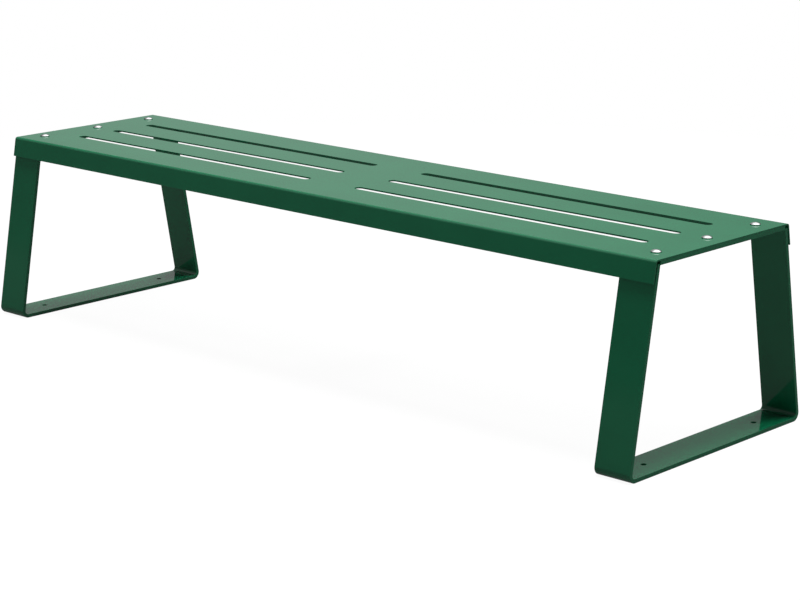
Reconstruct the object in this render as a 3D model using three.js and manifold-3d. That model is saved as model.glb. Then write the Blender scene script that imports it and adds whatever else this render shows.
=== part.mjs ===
// A backless bench: a seat folded from steel sheet, bolted down onto two trapezoid leg frames of
// steel flat bar. Each frame is one bar bent into a U, closed by a flat plate welded between its
// tops. Millimetres. +X runs along the seat, +Y points to the rear and +Z up. The origin is on the
// ground, below the middle of the seat.

import * as THREE from 'three';
import { mergeVertices } from 'three/addons/utils/BufferGeometryUtils.js';
import Module from 'manifold-3d';

const wasm = await Module();
wasm.setup();

// Driving dimensions

const lean = THREE.MathUtils.degToRad(10); // legs and flanges lean outwards by this from upright

const seat = {
  length: 1800,
  height: 400, // ground to the top face
  sheet: 3,
  innerBend: 3, // inside radius of the two long folds
  flangeDrop: 42, // top face straight down to a flange's outer lower edge
  flangeGap: 3, // between a flange and the leg behind it
};

const slot = {
  rowPitch: 100,
  width: 20,
  endMargin: 100, // end of the seat to the nearest slot tip
  middleGap: 132, // between the slot tips of the left and right groups
};

const bar = {
  width: 80,
  thickness: 8,
  innerBend: 8,
  footSpread: 544, // front to rear over the frame's sharp lower corners
  legRise: 1.5, // top plate's underside up to a leg's inner top edge
};

const weld = {
  leg: 4, // width and height of the bead
  setBack: 6, // from the edges of the bar to the bead's ends
  gap: 0.1, // clear of both faces that it joins
};

const anchorHole = { diameter: 11, pitch: 350 };

const bolt = {
  pitch: 155,
  headDiameter: 20.6,
  headHeight: 4.9,
  headRim: 0.8, // straight edge below the dome
  neckWidth: 8.4,
  neckDepth: 4.5,
  shank: 7.2, // mean diameter of an M8 thread
  length: 25,
  tipChamfer: 1,
};

const boltHoleWidth = 9; // square, so that a bolt's square neck can't turn in it

const washer = { diameter: 16, bore: 8.4, thickness: 1.6 };

const nut = { acrossFlats: 13, bore: 7.6, height: 6.8 };

// Straight pieces that stand for a curve: those in a bend, half of those in a round hole or the end
// of a slot, those around a turned piece, and those from the rim of a dome to its top.
const steps = { bend: 10, hole: 12, turn: 24, dome: 6 };

// Derived sizes

const frameHeight = seat.height - seat.sheet;
const frameCentreX = (seat.length - bar.width) / 2;
const ends = [
  { name: 'left', x: -frameCentreX },
  { name: 'right', x: frameCentreX },
];
const rows = [
  { name: 'front', step: -1 },
  { name: 'middle', step: 0 },
  { name: 'rear', step: 1 },
];
const outerRows = rows.filter((row) => row.step !== 0);
const legTop = frameHeight - bar.thickness + bar.legRise; // at a leg's inner face

// Half-width, at a height, of a plane parallel to the legs' outer faces and this far inside them.
function slopeAt(height, inset) {
  return bar.footSpread / 2 - height * Math.tan(lean) - inset / Math.cos(lean);
}

// Materials

function paintedSteel() {
  return new THREE.MeshStandardMaterial({ color: 0x1c4a35, roughness: 0.25, metalness: 0 });
}

function bareSteel() {
  return new THREE.MeshStandardMaterial({ color: 0xc9ccce, roughness: 0.3, metalness: 1 });
}

// Outlines

// A closed outline through corners given as [x, y, radius], each one rounded off by its own arc.
function roundedOutline(corners) {
  const points = corners.flatMap(([x, y, radius], index) => {
    const corner = new THREE.Vector2(x, y);
    if (radius === 0) return [corner];
    const before = new THREE.Vector2(...corners.at(index - 1)).sub(corner).normalize();
    const after = new THREE.Vector2(...corners[(index + 1) % corners.length]).sub(corner).normalize();
    const halfAngle = Math.acos(before.dot(after)) / 2;
    const towardsCentre = before.clone().add(after).normalize();
    const centre = corner.clone().addScaledVector(towardsCentre, radius / Math.sin(halfAngle));
    const tangentLength = radius / Math.tan(halfAngle);
    const start = corner.clone().addScaledVector(before, tangentLength).sub(centre).angle();
    const end = corner.clone().addScaledVector(after, tangentLength).sub(centre).angle();
    const clockwise = before.cross(after) > 0;
    const arc = new THREE.ArcCurve(centre.x, centre.y, radius, start, end, clockwise);
    return arc.getPoints(steps.bend);
  });
  return new THREE.Shape(points);
}

function rectangle(width, depth) {
  return roundedOutline([
    [-width / 2, -depth / 2, 0],
    [width / 2, -depth / 2, 0],
    [width / 2, depth / 2, 0],
    [-width / 2, depth / 2, 0],
  ]);
}

function circle(diameter) {
  const outline = new THREE.Shape();
  outline.absarc(0, 0, diameter / 2, 0, 2 * Math.PI);
  return outline;
}

// A slot outline with full-round ends.
function stadium(length, width) {
  const outline = new THREE.Shape();
  const straight = length / 2 - width / 2;
  outline.absarc(-straight, 0, width / 2, Math.PI / 2, 1.5 * Math.PI);
  outline.absarc(straight, 0, width / 2, 1.5 * Math.PI, 2.5 * Math.PI);
  return outline;
}

// Solids

// An outline in Y and Z drawn out along X, centred on x = 0.
function extrudeAlongX(outline, length) {
  const geometry = new THREE.ExtrudeGeometry(outline, { depth: length, bevelEnabled: false });
  const yAxis = new THREE.Vector3(0, 1, 0);
  const zAxis = new THREE.Vector3(0, 0, 1);
  const xAxis = new THREE.Vector3(1, 0, 0);
  geometry.applyMatrix4(new THREE.Matrix4().makeBasis(yAxis, zAxis, xAxis));
  return geometry.translate(-length / 2, 0, 0);
}

// An outline in X and Y drawn up from z = bottom to z = top.
function extrudeUp(outline, bottom, top) {
  const geometry = new THREE.ExtrudeGeometry(outline, {
    depth: top - bottom,
    bevelEnabled: false,
    curveSegments: steps.hole,
  });
  return geometry.translate(0, 0, bottom);
}

// A profile of [radius, z] points turned about the Z axis.
function turned(profile) {
  const points = profile.map(([radius, z]) => new THREE.Vector2(radius, z));
  return new THREE.LatheGeometry(points, steps.turn).rotateX(Math.PI / 2);
}

function toSolid(geometry) {
  const bare = geometry.clone();
  bare.deleteAttribute('normal');
  bare.deleteAttribute('uv');
  const merged = mergeVertices(bare);
  return new wasm.Manifold(new wasm.Mesh({
    numProp: 3,
    vertProperties: new Float32Array(merged.attributes.position.array),
    triVerts: new Uint32Array(merged.index.array),
  }));
}

function toGeometry(solid) {
  const mesh = solid.getMesh();
  const geometry = new THREE.BufferGeometry();
  geometry.setAttribute('position', new THREE.BufferAttribute(mesh.vertProperties, 3));
  geometry.setIndex(new THREE.BufferAttribute(mesh.triVerts, 1));
  geometry.computeVertexNormals();
  return geometry;
}

// Takes upright prisms out of a body. Each cut is { outline, x, y, bottom, top }.
function withCuts(geometry, cuts) {
  let solid = toSolid(geometry);
  for (const { outline, x, y, bottom, top } of cuts) {
    const tool = extrudeUp(outline, bottom - 1, top + 1).translate(x, y, 0);
    solid = solid.subtract(toSolid(tool));
  }
  return toGeometry(solid);
}

// Seat panel

// Cross-section of the folded sheet: a channel, open below, whose flanges lean outwards.
function seatSection() {
  const outside = -(seat.flangeGap + seat.sheet);
  const inside = -seat.flangeGap;
  const underside = seat.height - seat.sheet;
  const outerEdge = seat.height - seat.flangeDrop;
  const innerEdge = outerEdge - seat.sheet * Math.sin(lean);
  const outerBend = seat.innerBend + seat.sheet;
  return roundedOutline([
    [-slopeAt(outerEdge, outside), outerEdge, 0],
    [-slopeAt(innerEdge, inside), innerEdge, 0],
    [-slopeAt(underside, inside), underside, seat.innerBend],
    [slopeAt(underside, inside), underside, seat.innerBend],
    [slopeAt(innerEdge, inside), innerEdge, 0],
    [slopeAt(outerEdge, outside), outerEdge, 0],
    [slopeAt(seat.height, outside), seat.height, outerBend],
    [-slopeAt(seat.height, outside), seat.height, outerBend],
  ]);
}

// Two groups of three long slots, side by side.
function slotCuts() {
  const length = (seat.length - slot.middleGap) / 2 - slot.endMargin;
  const centreX = (slot.middleGap + length) / 2;
  return ends.flatMap((end) => rows.map((row) => ({
    outline: stadium(length, slot.width),
    x: Math.sign(end.x) * centreX,
    y: row.step * slot.rowPitch,
    bottom: seat.height - seat.sheet,
    top: seat.height,
  })));
}

function boltHoleCuts(xs, bottom, top) {
  return xs.flatMap((x) => rows.map((row) => ({
    outline: rectangle(boltHoleWidth, boltHoleWidth),
    x,
    y: row.step * bolt.pitch,
    bottom,
    top,
  })));
}

function seatPanel() {
  const folded = extrudeAlongX(seatSection(), seat.length);
  const endXs = ends.map((end) => end.x);
  const holes = boltHoleCuts(endXs, seat.height - seat.sheet, seat.height);
  const mesh = new THREE.Mesh(withCuts(folded, [...slotCuts(), ...holes]), paintedSteel());
  mesh.name = 'seat_panel';
  return mesh;
}

// Leg frames, each drawn centred on x = 0

// Side view of the bar bent into a U. Its legs lean inwards, and their tops are cut square.
function legSection() {
  const outerTop = legTop + bar.thickness * Math.sin(lean);
  const outerBend = bar.innerBend + bar.thickness;
  return roundedOutline([
    [-slopeAt(outerTop, 0), outerTop, 0],
    [-slopeAt(0, 0), 0, outerBend],
    [slopeAt(0, 0), 0, outerBend],
    [slopeAt(outerTop, 0), outerTop, 0],
    [slopeAt(legTop, bar.thickness), legTop, 0],
    [slopeAt(bar.thickness, bar.thickness), bar.thickness, bar.innerBend],
    [-slopeAt(bar.thickness, bar.thickness), bar.thickness, bar.innerBend],
    [-slopeAt(legTop, bar.thickness), legTop, 0],
  ]);
}

function legBarGeometry() {
  const anchorCuts = outerRows.map((row) => ({
    outline: circle(anchorHole.diameter),
    x: 0,
    y: row.step * anchorHole.pitch / 2,
    bottom: 0,
    top: bar.thickness,
  }));
  return withCuts(extrudeAlongX(legSection(), bar.width), anchorCuts);
}

// The flat plate under the seat. Its square ends reach the inner top edges of the legs.
function topPlateGeometry() {
  const underside = frameHeight - bar.thickness;
  const outline = rectangle(bar.width, 2 * slopeAt(legTop, bar.thickness));
  return withCuts(extrudeUp(outline, underside, frameHeight), boltHoleCuts([0], underside, frameHeight));
}

// A weld bead in the groove between a leg's square top and the end of the top plate.
function weldGeometry(row) {
  const clearance = weld.gap * (1 + Math.sin(lean)) / Math.cos(lean);
  const root = new THREE.Vector2(slopeAt(legTop, bar.thickness) + weld.gap, legTop + clearance);
  const section = roundedOutline([
    [row.step * root.x, root.y, 0],
    [row.step * (root.x + weld.leg * Math.cos(lean)), root.y + weld.leg * Math.sin(lean), 0],
    [row.step * root.x, root.y + weld.leg, 0],
  ]);
  return extrudeAlongX(section, bar.width - 2 * weld.setBack);
}

function legFrame(end) {
  const frame = new THREE.Group();
  const pieces = [
    { name: `leg_bar_${end.name}`, geometry: legBarGeometry() },
    { name: `top_plate_${end.name}`, geometry: topPlateGeometry() },
    ...outerRows.map((row) => ({ name: `weld_${end.name}_${row.name}`, geometry: weldGeometry(row) })),
  ];
  for (const { name, geometry } of pieces) {
    const mesh = new THREE.Mesh(geometry, paintedSteel());
    mesh.name = name;
    frame.add(mesh);
  }
  frame.position.x = end.x;
  return frame;
}

// Fasteners, each drawn with z = 0 on the face that bears on the piece below or above it

// Points of the low dome from its rim in to the axis, as an arc of a circle.
function domeProfile(radius, rim, height) {
  const rise = height - rim;
  const sphere = (radius ** 2 + rise ** 2) / (2 * rise);
  const widest = Math.asin(radius / sphere);
  const points = [];
  for (let step = 0; step <= steps.dome; step += 1) {
    const angle = widest * (1 - step / steps.dome);
    points.push([sphere * Math.sin(angle), height - sphere * (1 - Math.cos(angle))]);
  }
  return points;
}

// A domed bolt with a square neck under its head.
function boltGeometry() {
  const headRadius = bolt.headDiameter / 2;
  const shankRadius = bolt.shank / 2;
  const body = turned([
    [0, -bolt.length],
    [shankRadius - bolt.tipChamfer, -bolt.length],
    [shankRadius, bolt.tipChamfer - bolt.length],
    [shankRadius, 0],
    [headRadius, 0],
    ...domeProfile(headRadius, bolt.headRim, bolt.headHeight),
  ]);
  const neck = extrudeUp(rectangle(bolt.neckWidth, bolt.neckWidth), -bolt.neckDepth, bolt.headRim);
  return toGeometry(toSolid(body).add(toSolid(neck)));
}

function washerGeometry() {
  const outline = circle(washer.diameter);
  outline.holes.push(circle(washer.bore));
  return extrudeUp(outline, -washer.thickness, 0);
}

function nutGeometry() {
  const cornerRadius = nut.acrossFlats / Math.sqrt(3);
  const outline = new THREE.Shape();
  for (let corner = 0; corner < 6; corner += 1) {
    const angle = corner * Math.PI / 3;
    const x = cornerRadius * Math.cos(angle);
    const y = cornerRadius * Math.sin(angle);
    if (corner === 0) outline.moveTo(x, y);
    else outline.lineTo(x, y);
  }
  outline.holes.push(circle(nut.bore));
  return extrudeUp(outline, -nut.height, 0);
}

// One bolt with its washer and nut, placed at its hole.
function fastenerSet(end, row) {
  const set = new THREE.Group();
  const barUnderside = -seat.sheet - bar.thickness;
  const pieces = [
    { name: 'bolt', geometry: boltGeometry(), z: 0 },
    { name: 'washer', geometry: washerGeometry(), z: barUnderside },
    { name: 'nut', geometry: nutGeometry(), z: barUnderside - washer.thickness },
  ];
  for (const { name, geometry, z } of pieces) {
    const mesh = new THREE.Mesh(geometry, bareSteel());
    mesh.name = `${name}_${end.name}_${row.name}`;
    mesh.position.z = z;
    set.add(mesh);
  }
  set.position.set(end.x, row.step * bolt.pitch, seat.height);
  return set;
}

// The bench

const bench = new THREE.Group();
bench.add(seatPanel());
for (const end of ends) {
  bench.add(legFrame(end));
  for (const row of rows) bench.add(fastenerSet(end, row));
}

export default bench;
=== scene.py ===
# Looks of a backless bench: a painted seat folded from steel sheet, bolted onto two leg frames of
# flat bar. Each frame is a bar bent into a U, with a flat plate welded between its tops. Everything
# is in metres. A size that a CAD node shows is read from that node, and the rest are named here.
import math

import bmesh
import bpy
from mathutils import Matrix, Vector


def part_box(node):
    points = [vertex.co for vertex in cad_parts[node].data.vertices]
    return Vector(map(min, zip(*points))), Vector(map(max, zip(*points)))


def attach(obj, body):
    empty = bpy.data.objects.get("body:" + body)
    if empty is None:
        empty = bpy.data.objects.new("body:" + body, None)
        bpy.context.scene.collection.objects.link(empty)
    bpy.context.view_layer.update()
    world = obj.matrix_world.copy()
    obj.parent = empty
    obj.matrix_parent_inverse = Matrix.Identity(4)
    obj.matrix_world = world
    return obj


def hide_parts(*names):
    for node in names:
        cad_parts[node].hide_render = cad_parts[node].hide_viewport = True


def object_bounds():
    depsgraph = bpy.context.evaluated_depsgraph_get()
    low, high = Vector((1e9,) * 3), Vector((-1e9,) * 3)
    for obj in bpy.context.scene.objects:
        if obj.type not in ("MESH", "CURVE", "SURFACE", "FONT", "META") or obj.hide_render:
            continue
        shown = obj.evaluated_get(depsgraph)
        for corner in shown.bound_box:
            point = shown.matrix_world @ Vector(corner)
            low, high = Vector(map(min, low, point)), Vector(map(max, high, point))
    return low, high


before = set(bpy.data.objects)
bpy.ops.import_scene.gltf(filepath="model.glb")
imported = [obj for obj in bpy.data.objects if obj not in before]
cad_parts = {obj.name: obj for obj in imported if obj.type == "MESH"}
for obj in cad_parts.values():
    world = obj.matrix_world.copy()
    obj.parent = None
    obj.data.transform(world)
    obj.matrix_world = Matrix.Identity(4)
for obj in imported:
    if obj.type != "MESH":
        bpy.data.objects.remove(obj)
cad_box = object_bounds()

MM = 0.001
ENDS = {"left": -1, "right": 1}
ROWS = {"front": -1, "middle": 0, "rear": 1}
OUTER_ROWS = {"front": -1, "rear": 1}


# Sheet and bars

LEAN = math.radians(10)  # legs and flanges lean outwards by this from upright
SHEET = 3 * MM
SHEET_INNER_BEND = 3 * MM
BAR_INNER_BEND = 8 * MM
FLANGE_GAP = 3 * MM  # between a flange and the leg behind it
BEND_STRIPS = 16  # flat strips that make one bend
SHEET_EDGE = 0.2 * MM  # radii of the painted cut edges
BAR_EDGE = 0.4 * MM
SHARPEST_CORNER = 0.05 * MM
SAME_POINT = 0.001 * MM  # points closer together than this become one

SLOT_WIDTH = 20 * MM
SLOT_ROW_PITCH = 100 * MM
SLOT_END_MARGIN = 100 * MM
SLOT_MIDDLE_GAP = 132 * MM
BOLT_HOLE_WIDTH = 9 * MM
BOLT_HOLE_CORNER = 0.8 * MM
ANCHOR_HOLE_DIAMETER = 11 * MM
ANCHOR_PITCH = 350 * MM

BEAD_FULLNESS = 0.7  # 0.5 makes a weld bead's face flat, and more makes it bulge
BEAD_TIP = 0.1  # its size at both ends, as a share of its size in the middle
RIPPLE_PITCH = 2.4 * MM
RIPPLE_HEIGHT = 0.05  # as a share of the bead's size


# Fasteners

AROUND = 72  # points around a turned piece
HEAD_RIM = 1.5 * MM  # upright edge below a bolt head's dome
HEAD_EDGE = 0.25 * MM  # small rounding between the rim and the dome
HEAD_FOOT = 0.9 * MM  # larger rounding where the rim meets the seat
NECK_WIDTH = 8.4 * MM
NECK_DEPTH = 4.5 * MM
SHANK = 7.2 * MM
THREAD_PITCH = 1.25 * MM
THREAD_DEPTH = 0.65 * MM
THREAD_TIP = 1.2 * MM  # length over which the thread fades out at the bolt's end
WASHER_BORE = 8.4 * MM
WASHER_EDGE = 0.2 * MM
NUT_BORE = 8.2 * MM
NUT_SINK = 0.5 * MM  # countersink at both ends of the bore
NUT_FACE = 0.95  # diameter of its round face, as a share of the width across flats
NUT_CHAMFER = math.radians(30)


# Materials

PAINT_DARK = (0.0022, 0.095, 0.0403)
PAINT_LIGHT = (0.0030, 0.105, 0.0447)
ZINC_DARK = (0.66, 0.68, 0.68)
ZINC_LIGHT = (0.80, 0.82, 0.82)
PATTERN_RANGE = (0.3, 0.7)  # where most of a noise pattern's values lie
RELIEF = 0.002 * MM  # depth of the paint's orange peel and of the zinc's grain


# Studio, with azimuths and elevations in degrees

LENS = 103.56  # in millimetres
VIEW_AZIMUTH = 42.81
VIEW_ELEVATION = 14.2
VIEW_DISTANCE = 4.74
VIEW_AIM = Vector((0.114, -0.020, -0.044))  # what the camera looks at, from the bench's middle

FLOOR_SIZE = 60
FLOOR_DROP = 0.2 * MM  # how far below the feet it lies
SHADE_NEAR = 1.2  # the shadow starts to fade this far from the bench's middle
SHADE_FAR = 3  # and is gone here
SHADE_SHARE = 0.05  # its strength near the bench
SEEN_FLOOR = 0.9  # how pale the floor is where the camera sees the shadow on it
MIRRORED_FLOOR = 0.19  # how bright the floor is in reflections
LIT_FLOOR = 0.25  # how much of its light it sends back up

# Lamps that reflections don't show: azimuth, elevation, width in degrees, strength
LAMPS = {
    "overhead": (0, 90, 16, 3.0),
    "behind": (180, 60, 50, 3.4),
}

# Glow of the studio's walls and ceiling: azimuth, elevation, sharpness, strength
GLOWS = {
    "ceiling": (195, 65, 8, 3.5),
    "window": (315, 50, 12, 1.2),
    "backdrop": (228, 12, 18, 0.46),
    "left_wall": (315, 12, 14, 0.23),
    "front_wall": (45, 12, 14, 0.5),
    "right_wall": (135, 12, 14, 0.4),
}


# Sizes read from the frame

seat_low, seat_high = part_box("seat_panel")
leg_low, leg_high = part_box("leg_bar_right")
plate_low, plate_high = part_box("top_plate_right")
weld_low, weld_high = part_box("weld_right_rear")
bolt_low, bolt_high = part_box("bolt_right_rear")
washer_low, washer_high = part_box("washer_right_rear")
nut_low, nut_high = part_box("nut_right_rear")

seat_length = seat_high.x - seat_low.x
frame_height = plate_high.z
bar = plate_high.z - plate_low.z
bar_width = leg_high.x - leg_low.x
frame_x = (leg_low.x + leg_high.x) / 2
leg_top = leg_high.z - bar * math.sin(LEAN)  # at a leg's inner face
bolt_pitch = (bolt_low.y + bolt_high.y) / 2
head_radius = (bolt_high.y - bolt_low.y) / 2
washer_radius = (washer_high.y - washer_low.y) / 2
nut_across_flats = nut_high.y - nut_low.y
seat_height = frame_height + SHEET
half_foot_spread = plate_high.y + leg_top * math.tan(LEAN) + bar / math.cos(LEAN)


def slope_at(height, inset):
    """Half-width, at a height, of a plane parallel to the legs' outer faces and this far inside."""
    return half_foot_spread - height * math.tan(LEAN) - inset / math.cos(LEAN)


# Meshes

def end_work(work, mesh):
    """Writes bmesh work into a mesh, with every face of the closed shape pointing out."""
    bmesh.ops.recalc_face_normals(work, faces=work.faces)
    if work.calc_volume(signed=True) < 0:
        bmesh.ops.reverse_faces(work, faces=work.faces)
    work.to_mesh(mesh)
    work.free()
    return mesh


# Flat blanks and how they fold

def rounded_rectangle(centre, size, radius, grow=0.0):
    """Points of a rectangle with arcs for corners. With a radius of half its width it is a slot."""
    steps = 12
    half = Vector(size) / 2 + Vector((grow, grow))
    radius = max(radius + grow, SHARPEST_CORNER)
    points = []
    for corner in range(4):
        side = Vector((1 if corner in (0, 3) else -1, 1 if corner < 2 else -1))
        pivot = Vector(centre) + (half - Vector((radius, radius))) * side
        for step in range(steps + 1):
            angle = (corner + step / steps) * math.pi / 2
            points.append(pivot + radius * Vector((math.cos(angle), math.sin(angle))))
    return points


def blank_mesh(size, holes, thickness, edge):
    """A flat plate in X and Y, with z = 0 halfway through it, rounded edges and y = 0 at one end.

    Each hole is (centre, size, radius)."""
    centre = (0, size[1] / 2)
    outlines = [rounded_rectangle(centre, size, edge, grow=-edge)]
    outlines += [rounded_rectangle(*hole, grow=edge) for hole in holes]
    curve = bpy.data.curves.new("blank", "CURVE")
    curve.dimensions = "2D"
    curve.fill_mode = "BOTH"
    curve.extrude = thickness / 2 - edge
    curve.bevel_depth = edge
    curve.bevel_resolution = 2
    for outline in outlines:
        spline = curve.splines.new("POLY")
        spline.points.add(len(outline) - 1)
        for point, place in zip(spline.points, outline):
            point.co = (place.x, place.y, 0, 1)
        spline.use_cyclic_u = True
    flat = bpy.data.objects.new("blank", curve)
    bpy.context.scene.collection.objects.link(flat)
    bpy.context.view_layer.update()
    evaluated = flat.evaluated_get(bpy.context.evaluated_depsgraph_get())
    mesh = bpy.data.meshes.new_from_object(evaluated)
    bpy.data.objects.remove(flat)
    bpy.data.curves.remove(curve)
    return mesh


def walk(path, distance):
    """Point and heading in the YZ plane, this far along (start, heading, [(length, turn), ...])."""
    point, heading, stretches = path
    point = Vector(point)
    for length, turn in stretches:
        step = min(distance, length)
        if turn == 0:
            point = point + step * Vector((math.cos(heading), math.sin(heading)))
        else:
            radius = length / turn
            after = heading + step / radius
            across = math.sin(after) - math.sin(heading)
            up = math.cos(heading) - math.cos(after)
            point = point + radius * Vector((across, up))
            heading = after
        distance -= step
        if distance <= 0:
            break
    return point, heading


def cut_strips(work, start, length):
    """Cuts a bend's stretch of a flat blank across into strips, so that it can curve."""
    for cut in range(BEND_STRIPS + 1):
        geometry = work.verts[:] + work.edges[:] + work.faces[:]
        place = (0, start + length * cut / BEND_STRIPS, 0)
        bmesh.ops.bisect_plane(work, geom=geometry, plane_co=place, plane_no=(0, 1, 0))


def fold(mesh, path):
    """Folds a flat blank along a path: its Y runs along the path, and its Z becomes the left normal."""
    work = bmesh.new()
    work.from_mesh(mesh)
    bmesh.ops.remove_doubles(work, verts=work.verts, dist=SAME_POINT)
    start = 0.0
    for length, turn in path[2]:
        if turn != 0:
            cut_strips(work, start, length)
        start += length
    for vert in work.verts:
        point, heading = walk(path, vert.co.y)
        y = point.x - vert.co.z * math.sin(heading)
        z = point.y + vert.co.z * math.cos(heading)
        vert.co = (vert.co.x, y, z)
    return end_work(work, mesh)


def path_length(path):
    return sum(length for length, turn in path[2])


# Pieces made of rings

def loft(rings, closed=False):
    """A skin over rings of points. The first and last are capped, or joined when the rings close."""
    work = bmesh.new()
    loops = [[work.verts.new(point) for point in points] for points in rings]
    following = loops[1:] + loops[:1] if closed else loops[1:]
    for near, far in zip(loops, following):
        for index in range(len(near)):
            after = (index + 1) % len(near)
            work.faces.new((near[index], near[after], far[after], far[index]))
    if not closed:
        work.faces.new(loops[0])
        work.faces.new(loops[-1])
    return end_work(work, bpy.data.meshes.new("loft"))


def ring(height, radius_at):
    """Points around the Z axis whose distance from it is a function of their angle."""
    points = []
    for step in range(AROUND):
        angle = 2 * math.pi * step / AROUND
        radius = radius_at(angle)
        points.append(Vector((radius * math.cos(angle), radius * math.sin(angle), height)))
    return points


def round_ring(radius, height):
    return ring(height, lambda angle: radius)


# Every piece

def finish_piece(name, mesh, material, node, place=(0, 0, 0)):
    """Puts a mesh in its place, shades it, and lets it stand for its CAD node."""
    mesh.name = name
    mesh.materials.clear()
    mesh.materials.append(material)
    mesh.shade_smooth()
    piece = bpy.data.objects.new(name, mesh)
    piece.location = place
    bpy.context.scene.collection.objects.link(piece)
    shading = piece.modifiers.new("flat faces stay flat", "WEIGHTED_NORMAL")
    shading.keep_sharp = True
    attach(piece, "root")
    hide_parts(node)


# Seat

def seat_path():
    """Middle surface of the folded sheet, from the front flange's lower edge to the rear one's."""
    radius = SHEET_INNER_BEND + SHEET / 2
    turn = math.pi / 2 - LEAN
    tangent = radius * math.tan(turn / 2)
    top_z = seat_height - SHEET / 2
    corner_y = slope_at(top_z, -FLANGE_GAP - SHEET / 2)
    edge_z = seat_low.z + SHEET * math.sin(LEAN) / 2
    edge_y = slope_at(edge_z, -FLANGE_GAP - SHEET / 2)
    flange = (top_z - edge_z) / math.cos(LEAN) - tangent
    bend = (radius * turn, -turn)
    top = 2 * (corner_y - tangent)
    return (-edge_y, edge_z), turn, [(flange, 0), bend, (top, 0), bend, (flange, 0)]


def bolt_holes(x, middle):
    """Square holes for the bolts across the bench, on a blank whose centre line is at y = middle."""
    size = (BOLT_HOLE_WIDTH, BOLT_HOLE_WIDTH)
    return [((x, middle + row * bolt_pitch), size, BOLT_HOLE_CORNER) for row in ROWS.values()]


def seat_sheet(paint):
    path = seat_path()
    width = path_length(path)
    slot_length = (seat_length - SLOT_MIDDLE_GAP) / 2 - SLOT_END_MARGIN
    slot_x = (SLOT_MIDDLE_GAP + slot_length) / 2
    holes = []
    for end in ENDS.values():
        holes += bolt_holes(end * frame_x, width / 2)
        for row in ROWS.values():
            centre = (end * slot_x, width / 2 + row * SLOT_ROW_PITCH)
            holes.append((centre, (slot_length, SLOT_WIDTH), SLOT_WIDTH / 2))
    mesh = fold(blank_mesh((seat_length, width), holes, SHEET, SHEET_EDGE), path)
    finish_piece("seat_sheet", mesh, paint, "seat_panel")


# Leg frames

def leg_path():
    """Middle surface of the bent bar, from the front leg's top, along the ground, to the rear's."""
    radius = BAR_INNER_BEND + bar / 2
    turn = math.pi / 2 + LEAN
    tangent = radius * math.tan(turn / 2)
    top_z = leg_top + bar * math.sin(LEAN) / 2
    top_y = slope_at(top_z, bar / 2)
    corner_y = slope_at(bar / 2, bar / 2)
    leg = (top_z - bar / 2) / math.cos(LEAN) - tangent
    bend = (radius * turn, turn)
    bottom = 2 * (corner_y - tangent)
    return (-top_y, top_z), -turn, [(leg, 0), bend, (bottom, 0), bend, (leg, 0)]


def leg_bar(paint, end):
    path = leg_path()
    length = path_length(path)
    hole = (ANCHOR_HOLE_DIAMETER, ANCHOR_HOLE_DIAMETER)
    holes = [((0, length / 2 + row * ANCHOR_PITCH / 2), hole, ANCHOR_HOLE_DIAMETER / 2)
             for row in OUTER_ROWS.values()]
    mesh = fold(blank_mesh((bar_width, length), holes, bar, BAR_EDGE), path)
    place = (ENDS[end] * frame_x, 0, 0)
    finish_piece(f"{end}_leg_bar", mesh, paint, f"leg_bar_{end}", place)


def top_plate(paint, end):
    length = plate_high.y - plate_low.y
    mesh = blank_mesh((bar_width, length), bolt_holes(0, length / 2), bar, BAR_EDGE)
    path = ((-length / 2, frame_height - bar / 2), 0, [(length, 0)])
    mesh = fold(mesh, path)
    place = (ENDS[end] * frame_x, 0, 0)
    finish_piece(f"{end}_top_plate", mesh, paint, f"top_plate_{end}", place)


def weld_section(scale):
    """Points round a bead that fills the corner between a leg's top and the top plate's end."""
    leg = weld_high.z - weld_low.z
    root = Vector((weld_low.y, weld_low.z))
    along_leg = Vector((math.cos(LEAN), math.sin(LEAN))) * leg
    along_plate = Vector((0, leg))
    crown = (along_leg + along_plate) * BEAD_FULLNESS
    steps = 6
    points = [root]
    for step in range(steps + 1):
        t = step / steps
        curve = along_leg * (1 - t) ** 2 + crown * 2 * t * (1 - t) + along_plate * t ** 2
        points.append(root + curve * scale)
    return points


def weld_bead(paint, end, row):
    """A rippled bead that tapers off at both ends."""
    length = weld_high.x - weld_low.x
    slices_per_ripple = 12
    bluntness = 6
    steps = slices_per_ripple * round(length / RIPPLE_PITCH)
    rings = []
    for step in range(steps + 1):
        x = length * (step / steps - 0.5)
        taper = math.sqrt(1 - abs(2 * x / length) ** bluntness)
        ripple = 1 - RIPPLE_HEIGHT * abs(math.sin(math.pi * x / RIPPLE_PITCH))
        scale = max(taper, BEAD_TIP) * ripple
        rings.append([(x, OUTER_ROWS[row] * point.x, point.y) for point in weld_section(scale)])
    place = (ENDS[end] * frame_x, 0, 0)
    finish_piece(f"{end}_{row}_weld", loft(rings), paint, f"weld_{end}_{row}", place)


# Fasteners, each drawn with z = 0 on the face that bears on the piece below or above it

def dome_rings(height):
    """The upper face of a bolt head, an arc of a circle from the rim to the middle."""
    steps = 14
    rise = height - HEAD_RIM
    sphere = (head_radius ** 2 + rise ** 2) / (2 * rise)
    widest = math.asin((head_radius - HEAD_EDGE) / sphere)
    rings = []
    for step in range(steps):
        angle = widest * (1 - step / steps)
        rings.append(round_ring(sphere * math.sin(angle), height - sphere * (1 - math.cos(angle))))
    return rings


def foot_rings():
    """The rounding from the bolt head's bearing face up to its rim."""
    steps = 4
    rings = []
    for step in range(steps + 1):
        angle = math.pi / 2 * step / steps
        radius = head_radius - HEAD_FOOT * (1 - math.sin(angle))
        rings.append(round_ring(radius, HEAD_FOOT * (1 - math.cos(angle))))
    return rings + [round_ring(head_radius, HEAD_RIM - HEAD_EDGE)]


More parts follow.
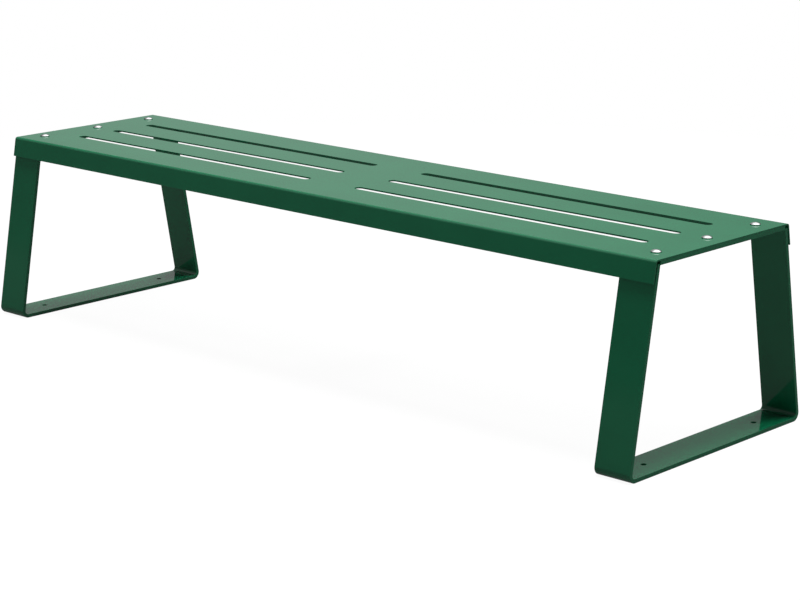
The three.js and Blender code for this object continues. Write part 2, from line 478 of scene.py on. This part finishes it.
def neck_ring(height):
    """A square with rounded corners, as a superellipse."""
    squareness = 10

    def radius_at(angle):
        total = abs(math.cos(angle)) ** squareness + abs(math.sin(angle)) ** squareness
        return NECK_WIDTH / 2 / total ** (1 / squareness)
    return ring(height, radius_at)


def thread_ring(height, end_height):
    """One slice of the thread, which fades out towards the bolt's end."""
    fade = min((height - end_height) / THREAD_TIP, 1)
    steepness = 1.3
    core = SHANK / 2 - THREAD_DEPTH / 2

    def radius_at(angle):
        turn = (height / THREAD_PITCH - angle / (2 * math.pi)) % 1
        crest = min(steepness * (1 - abs(2 * turn - 1)), 1)
        return core - (1 - fade) * THREAD_DEPTH / 2 + THREAD_DEPTH * crest * fade
    return ring(height, radius_at)


def thread_rings(end, top):
    slices_per_turn = 8
    slices = round(slices_per_turn * (top - end) / THREAD_PITCH)
    return [thread_ring(end + (top - end) * step / slices, end) for step in range(slices + 1)]


def bolt_rings():
    head_height = bolt_high.z - seat_height
    end = bolt_low.z - seat_height
    thread_top = washer_low.z - seat_height
    rings = thread_rings(end, thread_top)
    rings += [round_ring(SHANK / 2, thread_top + THREAD_PITCH), round_ring(SHANK / 2, -NECK_DEPTH)]
    rings += [neck_ring(-NECK_DEPTH), neck_ring(0)]
    return rings + foot_rings() + dome_rings(head_height)


def washer_rings():
    thickness = washer_high.z - washer_low.z
    inner = WASHER_BORE / 2
    edge = WASHER_EDGE
    profile = [(inner, -edge), (inner + edge, 0), (washer_radius - edge, 0), (washer_radius, -edge)]
    mirrored = [(radius, -thickness - height) for radius, height in reversed(profile)]
    return [round_ring(radius, height) for radius, height in profile + mirrored]


def hexagon_ring(drop, z):
    """A nut's hexagon, its corners cut by a cone that has widened over this drop below the face."""
    flat = nut_across_flats / 2
    cone = NUT_FACE * flat + drop / math.tan(NUT_CHAMFER)
    side = math.pi / 3
    return ring(z, lambda angle: min(cone, flat / math.cos(angle % side - side / 2)))


def nut_rings():
    """A hexagon whose corners are turned off in a cone at both faces, around a countersunk bore."""
    height = nut_high.z - nut_low.z
    flat = nut_across_flats / 2
    corner = flat / math.cos(math.pi / 6)
    depth = (corner - NUT_FACE * flat) * math.tan(NUT_CHAMFER)
    bore = NUT_BORE / 2
    steps = 6
    drops = [depth * step / steps for step in range(steps + 1)]
    top = [hexagon_ring(drop, -drop) for drop in drops]
    bottom = [hexagon_ring(drop, drop - height) for drop in reversed(drops)]
    hole = [round_ring(bore + NUT_SINK, -height), round_ring(bore, NUT_SINK - height)]
    hole += [round_ring(bore, -NUT_SINK), round_ring(bore + NUT_SINK, 0)]
    return top + bottom + hole


def fastener_set(steel, end, row):
    middle = Vector((ENDS[end] * frame_x, ROWS[row] * bolt_pitch, 0))
    pieces = {
        "bolt": (loft(bolt_rings()), seat_height),
        "washer": (loft(washer_rings(), closed=True), washer_high.z),
        "nut": (loft(nut_rings(), closed=True), nut_high.z),
    }
    for kind, (mesh, z) in pieces.items():
        place = middle + Vector((0, 0, z))
        node = f"{kind}_{end}_{row}"
        finish_piece(f"{end}_{row}_{kind}", mesh, steel, node, place)


# How the materials are made

def new_material(name):
    material = bpy.data.materials.new(name)
    material.use_nodes = True
    return material, material.node_tree, material.node_tree.nodes["Principled BSDF"]


def noise(tree, scale, detail):
    """A noise pattern fixed to the piece. Its scale is in patches per metre."""
    place = tree.nodes.new("ShaderNodeTexCoord")
    texture = tree.nodes.new("ShaderNodeTexNoise")
    texture.inputs["Scale"].default_value = scale
    texture.inputs["Detail"].default_value = detail
    tree.links.new(place.outputs["Object"], texture.inputs["Vector"])
    return texture.outputs["Fac"]


def tint(tree, pattern, dark, light, socket):
    """Colours a pattern between two close colours."""
    ramp = tree.nodes.new("ShaderNodeValToRGB")
    stops = ramp.color_ramp.elements
    for stop, position, colour in zip(stops, PATTERN_RANGE, (dark, light)):
        stop.position = position
        stop.color = (*colour, 1)
    tree.links.new(pattern, ramp.inputs["Fac"])
    tree.links.new(ramp.outputs["Color"], socket)


def spread(tree, pattern, low, high, socket):
    """Turns a pattern into a value between low and high."""
    span = tree.nodes.new("ShaderNodeMapRange")
    span.inputs["From Min"].default_value = PATTERN_RANGE[0]
    span.inputs["From Max"].default_value = PATTERN_RANGE[1]
    span.inputs["To Min"].default_value = low
    span.inputs["To Max"].default_value = high
    tree.links.new(pattern, span.inputs["Value"])
    tree.links.new(span.outputs["Result"], socket)


def bump(tree, pattern, depth, shader):
    """Raises the surface by a pattern, this far at most."""
    relief = tree.nodes.new("ShaderNodeBump")
    relief.inputs["Strength"].default_value = 1
    relief.inputs["Distance"].default_value = depth
    tree.links.new(pattern, relief.inputs["Height"])
    tree.links.new(relief.outputs["Normal"], shader.inputs["Normal"])


def green_paint():
    """Glossy powder coat: an even dark green with the faint orange peel that such paint dries to."""
    material, tree, shader = new_material("green_paint")
    clouds = noise(tree, scale=9, detail=4)
    haze = noise(tree, scale=60, detail=3)
    orange_peel = noise(tree, scale=420, detail=1)
    tint(tree, clouds, PAINT_DARK, PAINT_LIGHT, shader.inputs["Base Color"])
    spread(tree, haze, low=0.05, high=0.08, socket=shader.inputs["Roughness"])
    bump(tree, orange_peel, RELIEF, shader)
    shader.inputs["IOR"].default_value = 1.5
    return material


def bare_steel():
    """Bright zinc-plated steel with a fine uneven grain."""
    material, tree, shader = new_material("bare_steel")
    mottling = noise(tree, scale=700, detail=3)
    dullness = noise(tree, scale=900, detail=2)
    grain = noise(tree, scale=2500, detail=2)
    tint(tree, mottling, ZINC_DARK, ZINC_LIGHT, shader.inputs["Base Color"])
    spread(tree, dullness, low=0.16, high=0.26, socket=shader.inputs["Roughness"])
    bump(tree, grain, RELIEF, shader)
    shader.inputs["Metallic"].default_value = 1
    return material


# Stage

def look_at(watcher, target):
    watcher.rotation_euler = (Vector(target) - watcher.location).to_track_quat("-Z", "Y").to_euler()


def toward(azimuth, elevation):
    """Direction from the bench. Azimuth 0 is its front, and 90 its right end. Both are in degrees."""
    azimuth = math.radians(azimuth)
    elevation = math.radians(elevation)
    level = math.cos(elevation)
    return Vector((math.sin(azimuth) * level, -math.cos(azimuth) * level, math.sin(elevation)))


def camera():
    data = bpy.data.cameras.new("camera")
    data.lens = LENS
    data.clip_end = 2 * FLOOR_SIZE
    eye = bpy.data.objects.new("camera", data)
    bpy.context.scene.collection.objects.link(eye)
    low, high = cad_box
    aim = (low + high) / 2 + VIEW_AIM
    eye.location = aim + VIEW_DISTANCE * toward(VIEW_AZIMUTH, VIEW_ELEVATION)
    look_at(eye, aim)
    bpy.context.scene.camera = eye


def by_ray(tree, kind, those, others):
    """One shader for the rays of a kind, such as the camera's, and another for the rest."""
    rays = tree.nodes.new("ShaderNodeLightPath")
    mix = tree.nodes.new("ShaderNodeMixShader")
    tree.links.new(rays.outputs[kind], mix.inputs["Fac"])
    tree.links.new(others, mix.inputs[1])
    tree.links.new(those, mix.inputs[2])
    return mix.outputs["Shader"]


def grey(tree, brightness):
    shader = tree.nodes.new("ShaderNodeBsdfDiffuse")
    shader.inputs["Color"].default_value = (brightness, brightness, brightness, 1)
    return shader.outputs["BSDF"]


def shining(tree, brightness):
    shader = tree.nodes.new("ShaderNodeEmission")
    shader.inputs["Strength"].default_value = brightness
    return shader.outputs["Emission"]


def pale(tree):
    """What the camera sees of the floor: white, with the bench's shadow just showing round it."""
    mix = tree.nodes.new("ShaderNodeMixShader")
    place = tree.nodes.new("ShaderNodeTexCoord")
    distance = tree.nodes.new("ShaderNodeVectorMath")
    distance.operation = "LENGTH"
    fade = tree.nodes.new("ShaderNodeMapRange")
    fade.inputs["From Min"].default_value = SHADE_NEAR
    fade.inputs["From Max"].default_value = SHADE_FAR
    fade.inputs["To Min"].default_value = 1 - SHADE_SHARE
    tree.links.new(place.outputs["Object"], distance.inputs[0])
    tree.links.new(distance.outputs["Value"], fade.inputs["Value"])
    tree.links.new(fade.outputs["Result"], mix.inputs["Fac"])
    tree.links.new(grey(tree, SEEN_FLOOR), mix.inputs[1])
    tree.links.new(shining(tree, 1), mix.inputs[2])
    return mix.outputs["Shader"]


def floor():
    """A pale floor. It is see-through from below, so that the underside can be looked at."""
    half = FLOOR_SIZE / 2
    level = leg_low.z - FLOOR_DROP
    corners = [(x * half, y * half, level) for x, y in ((-1, -1), (1, -1), (1, 1), (-1, 1))]
    mesh = bpy.data.meshes.new("floor")
    mesh.from_pydata(corners, [], [(0, 1, 2, 3)])
    material = bpy.data.materials.new("floor")
    material.use_nodes = True
    tree = material.node_tree
    tree.nodes.remove(tree.nodes["Principled BSDF"])
    felt = by_ray(tree, "Is Glossy Ray", shining(tree, MIRRORED_FLOOR), grey(tree, LIT_FLOOR))
    above = by_ray(tree, "Is Camera Ray", pale(tree), felt)
    side = tree.nodes.new("ShaderNodeNewGeometry")
    clear = tree.nodes.new("ShaderNodeBsdfTransparent")
    sides = tree.nodes.new("ShaderNodeMixShader")
    tree.links.new(side.outputs["Backfacing"], sides.inputs["Fac"])
    tree.links.new(above, sides.inputs[1])
    tree.links.new(clear.outputs["BSDF"], sides.inputs[2])
    tree.links.new(sides.outputs["Shader"], tree.nodes["Material Output"].inputs["Surface"])
    mesh.materials.append(material)
    ground = bpy.data.objects.new("floor", mesh)
    bpy.context.scene.collection.objects.link(ground)


def lamp(name, azimuth, elevation, width, strength):
    """A wide soft light, as if far away, that gives no highlight."""
    data = bpy.data.lights.new(name, "SUN")
    data.angle = math.radians(width)
    data.energy = strength
    light = bpy.data.objects.new(name, data)
    light.location = toward(azimuth, elevation)
    look_at(light, (0, 0, 0))
    light.visible_glossy = False
    bpy.context.scene.collection.objects.link(light)


def calculate(tree, operation, first, second):
    """A sum, product or other operation on two values, each a number or a socket."""
    node = tree.nodes.new("ShaderNodeMath")
    node.operation = operation
    for value, socket in zip((first, second), node.inputs):
        if isinstance(value, (int, float)):
            socket.default_value = value
        else:
            tree.links.new(value, socket)
    return node.outputs["Value"]


def glow(tree, azimuth, elevation, sharpness, strength):
    """Light from one direction of the studio, which falls off smoothly round it."""
    place = tree.nodes.new("ShaderNodeTexCoord")
    along = tree.nodes.new("ShaderNodeVectorMath")
    along.operation = "DOT_PRODUCT"
    along.inputs[1].default_value = toward(azimuth, elevation)
    tree.links.new(place.outputs["Generated"], along.inputs[0])
    above = calculate(tree, "MAXIMUM", along.outputs["Value"], 0)
    return calculate(tree, "MULTIPLY", calculate(tree, "POWER", above, sharpness), strength)


def surroundings():
    """White behind the bench for the camera, and a soft glow for everything else."""
    world = bpy.data.worlds.new("studio")
    bpy.context.scene.world = world
    world.use_nodes = True
    tree = world.node_tree
    white = tree.nodes["Background"]
    white.inputs["Color"].default_value = (1, 1, 1, 1)
    walls = tree.nodes.new("ShaderNodeBackground")
    total = 0
    for light in GLOWS.values():
        total = calculate(tree, "ADD", total, glow(tree, *light))
    tree.links.new(total, walls.inputs["Strength"])
    around = by_ray(tree, "Is Camera Ray", white.outputs["Background"], walls.outputs["Background"])
    tree.links.new(around, tree.nodes["World Output"].inputs["Surface"])


camera()
floor()
surroundings()
for name, light in LAMPS.items():
    lamp(name, *light)

paint = green_paint()
steel = bare_steel()
seat_sheet(paint)
for end in ENDS:
    leg_bar(paint, end)
    top_plate(paint, end)
    for row in OUTER_ROWS:
        weld_bead(paint, end, row)
    for row in ROWS:
        fastener_set(steel, end, row)
bpy.context.scene.view_settings.view_transform = "Standard"
